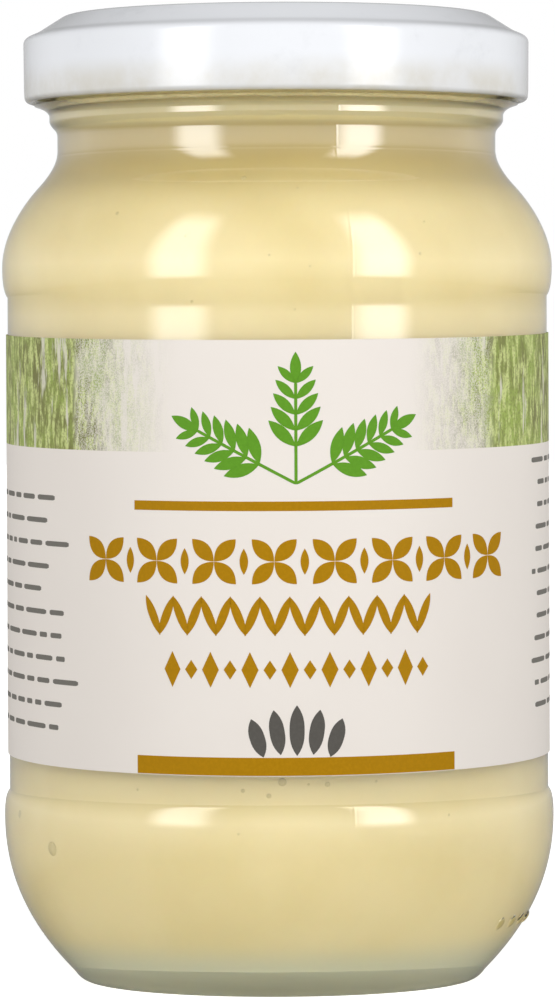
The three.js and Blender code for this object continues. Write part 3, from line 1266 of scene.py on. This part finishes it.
def on_outline(points: list[Point], degrees: float, height: float) -> tuple[tuple, tuple]:
    """Finds a place on a turned surface and the way it faces.

    Args:
        points: The surface's outline, rising in height.
        degrees: Angle from the front.
        height: Height in millimetres.

    Returns:
        The place in millimetres and the outward direction.
    """
    heights = [p[1] for p in points]
    radii = [p[0] for p in points]
    radius = float(np.interp(height, heights, radii))
    rise = float(np.interp(height + 0.2, heights, radii) - np.interp(height - 0.2, heights, radii)) / 0.4
    turn = math.radians(degrees)
    long = math.hypot(1.0, rise)
    place = (radius * math.sin(turn), -radius * math.cos(turn), height)
    return place, (math.sin(turn) / long, -math.cos(turn) / long, -rise / long)


@dataclass
class Bubbles:
    """Small air bubbles in the filling, where it touches the glass."""

    jar: GlassJar
    studs: Studs
    reach: float = 0.08
    spots: list[tuple[float, float, float]] = field(
        default_factory=lambda: [
            (-8.0, 95.2, 0.32), (-38.0, 91.3, 0.22), (-20.0, 88.7, 0.16), (-1.6, 86.6, 0.12),
            (-18.5, 81.5, 0.16), (32.0, 86.8, 0.16), (34.0, 90.2, 0.13), (4.9, 94.0, 0.13),
            (7.0, 85.4, 0.12), (3.8, 80.4, 0.12), (-32.0, 24.6, 0.16), (-7.8, 24.7, 0.24),
            (-2.2, 24.1, 0.28), (0.7, 25.7, 0.48), (6.3, 25.4, 0.14), (10.4, 25.4, 0.3),
            (21.3, 25.6, 0.15), (-8.7, 19.7, 0.14), (-57.5, 17.2, 0.8), (-73.0, 20.5, 0.42),
            (39.0, 21.2, 0.15), (118.0, 88.0, 0.3), (150.0, 22.4, 0.4), (-128.0, 84.4, 0.25),
            (-160.0, 18.8, 0.5), (171.0, 90.3, 0.22),
        ]
    )

    def build(self) -> bpy.types.Object:
        """Builds the bubbles and dresses them."""
        cavity = self.jar.inside(Outline((0.0, 112.0)), 112.0, -self.reach).points[::-1]
        wall = [p for p in cavity if p[0] > 22.5]
        spots = [(*on_outline(wall, angle, height), size) for angle, height, size in self.spots]
        return self.studs.place("cream_bubbles", spots, 0.35, "mayonnaise", BubbleFinish().material())


# The studio


@dataclass
class Studio:
    """The floor, the light and the camera."""

    camera_distance: float = 695.0
    camera_height: float = 69.45
    pixel: float = 0.121
    horizon_row: float = 404.0
    middle_row: float = 500.0
    long_side: float = 1000.0
    sensor: float = 36.0
    roll_degrees: float = 0.25
    left_power: float = 3.2
    right_power: float = 4.0
    box_distance: float = 0.34
    box_height: float = 0.58
    box_edge: float = 0.35
    box_foot: float = 0.07
    box_head: float = 0.4
    ambient: float = 1.1
    ambient_below: float = 0.3
    ambient_above: float = 0.12
    behind: float = 0.48
    # the floor's glow next to the jar, kept low as painted shade round its foot
    contact_shade_glow: float = 0.74
    glow_far: float = 1.0

    def camera(self) -> None:
        """Makes the camera at the photograph's place."""
        data = bpy.data.cameras.new("camera")
        data.sensor_width = self.sensor
        data.lens = self.sensor * self.camera_distance / (self.pixel * self.long_side)
        eye = bpy.data.objects.new("camera", data)
        tilt = math.atan((self.middle_row - self.horizon_row) * self.pixel / self.camera_distance)
        eye.location = (0.0, -self.camera_distance * MM, self.camera_height * MM)
        eye.rotation_euler = (math.pi / 2 - tilt, math.radians(self.roll_degrees), 0.0)
        bpy.context.scene.collection.objects.link(eye)
        bpy.context.scene.camera = eye

    def floor(self) -> None:
        """Makes the pale floor, which fades into the white surroundings far away.

        Its glow is weaker near the jar: painted shade round its foot, on top of
        the real contact shade.
        """
        bpy.ops.mesh.primitive_plane_add(size=12.0)
        ground = bpy.context.object
        ground.name = "floor"
        sketch = Sketch("pale_floor")
        white = Tone(244, 244, 243).linear()
        away = sketch.node("ShaderNodeVectorMath", {0: sketch.place}, operation="LENGTH").outputs["Value"]
        # painted shade: the glow is weaker near the jar
        glow = sketch.ramp(away, 0.06, 0.36, self.contact_shade_glow, self.glow_far)
        ground.data.materials.append(
            sketch.shade(Base_Color=white, Roughness=0.8, Emission_Color=white, Emission_Strength=glow)
        )
        ground.visible_diffuse = False
        ground.visible_glossy = False

    def softbox(self, name: str, degrees: float, power: float, width: float) -> None:
        """Makes a tall light that stands on the floor, faces the jar and fades to its edges.

        Args:
            name: Its name.
            degrees: Where it stands, from the front to the viewer's right.
            power: How bright its middle is.
            width: Its width, in metres.
        """
        distance, height = self.box_distance, self.box_height
        data = bpy.data.lights.new(name, "AREA")
        data.shape = "RECTANGLE"
        data.size, data.size_y = width, height
        data.energy = power * math.pi * width * height
        self._soften(data)
        lamp = bpy.data.objects.new(name, data)
        turn = math.radians(degrees)
        lamp.location = (distance * math.sin(turn), -distance * math.cos(turn), height / 2 + 0.002)
        lamp.rotation_euler = (math.pi / 2, 0.0, turn)
        bpy.context.scene.collection.objects.link(lamp)

    def _soften(self, data: bpy.types.AreaLight) -> None:
        """Makes a light fade towards its edges."""
        data.use_nodes = True
        nodes, links = data.node_tree.nodes, data.node_tree.links
        parts = nodes.new("ShaderNodeSeparateXYZ")
        links.new(nodes.new("ShaderNodeNewGeometry").outputs["Parametric"], parts.inputs[0])
        strength = None
        for axis, low, high in (
            ("X", 0.0, self.box_edge),
            ("X", 1.0, 1.0 - self.box_edge),
            ("Y", 0.0, self.box_foot),
            ("Y", 1.0, 1.0 - self.box_head),
        ):
            fade = nodes.new("ShaderNodeMapRange")
            fade.interpolation_type = "SMOOTHSTEP"
            fade.inputs["From Min"].default_value = low
            fade.inputs["From Max"].default_value = high
            links.new(parts.outputs[axis], fade.inputs["Value"])
            if strength is None:
                strength = fade.outputs["Result"]
                continue
            both = nodes.new("ShaderNodeMath")
            both.operation = "MULTIPLY"
            links.new(strength, both.inputs[0])
            links.new(fade.outputs["Result"], both.inputs[1])
            strength = both.outputs[0]
        links.new(strength, nodes["Emission"].inputs["Strength"])

    def surroundings(self) -> None:
        """Makes the surroundings: white behind, softer all round, darker below."""
        world = bpy.data.worlds.new("surroundings")
        world.use_nodes = True
        nodes, links = world.node_tree.nodes, world.node_tree.links
        ray = nodes.new("ShaderNodeLightPath")
        aim = nodes.new("ShaderNodeSeparateXYZ")
        links.new(nodes.new("ShaderNodeTexCoord").outputs["Generated"], aim.inputs[0])
        rise = nodes.new("ShaderNodeMapRange")
        rise.inputs["From Min"].default_value = -1.0
        links.new(aim.outputs["Z"], rise.inputs["Value"])
        soft = nodes.new("ShaderNodeValToRGB")
        stops = soft.color_ramp.elements
        above = (self.ambient_above + self.ambient) / 2
        stops.new(0.52)
        stops.new(0.68)
        levels = ((0.35, self.ambient_below), (0.52, self.ambient), (0.68, above), (1.0, self.ambient_above))
        for stop, (place, level) in zip(stops, levels):
            stop.position = place
            stop.color = (level, level, level, 1.0)
        links.new(rise.outputs["Result"], soft.inputs["Fac"])
        behind = nodes.new("ShaderNodeMapRange")
        for key, value in {"From Min": 0.5, "From Max": 0.95, "To Min": 1.0, "To Max": self.behind}.items():
            behind.inputs[key].default_value = value
        links.new(aim.outputs["Y"], behind.inputs["Value"])
        both = nodes.new("ShaderNodeMath")
        both.operation = "MULTIPLY"
        links.new(soft.outputs["Color"], both.inputs[0])
        links.new(behind.outputs["Result"], both.inputs[1])
        strength = nodes.new("ShaderNodeMix")
        links.new(both.outputs[0], strength.inputs[2])
        strength.inputs[3].default_value = 1.0
        links.new(ray.outputs["Is Camera Ray"], strength.inputs[0])
        links.new(strength.outputs[0], nodes["Background"].inputs["Strength"])
        nodes["Background"].inputs["Color"].default_value = (1.0, 1.0, 1.0, 1.0)
        bpy.context.scene.world = world

    def build(self) -> None:
        """Sets up the studio."""
        self.camera()
        self.floor()
        self.surroundings()
        self.softbox("softbox_left", -40.0, self.left_power, 0.2)
        self.softbox("softbox_right", 42.8, self.right_power, 0.19)
        scene = bpy.context.scene
        scene.view_settings.view_transform = "Standard"
        scene.cycles.use_denoising = True
        scene.cycles.max_bounces = 16
        scene.cycles.transmission_bounces = 12


def main() -> None:
    """Builds the jar, piece by piece, in its studio."""
    logging.basicConfig(level=logging.INFO, format="%(name)s: %(message)s")
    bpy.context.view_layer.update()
    Studio().build()
    jar = GlassJar()
    jar.build()
    Filling(jar).build()
    Lid().build()
    label = Label()
    label.build()
    LabelPrint(Wrapper(label)).build()
    Bubbles(jar, Studs()).build()


if __name__ == "__main__":
    main()
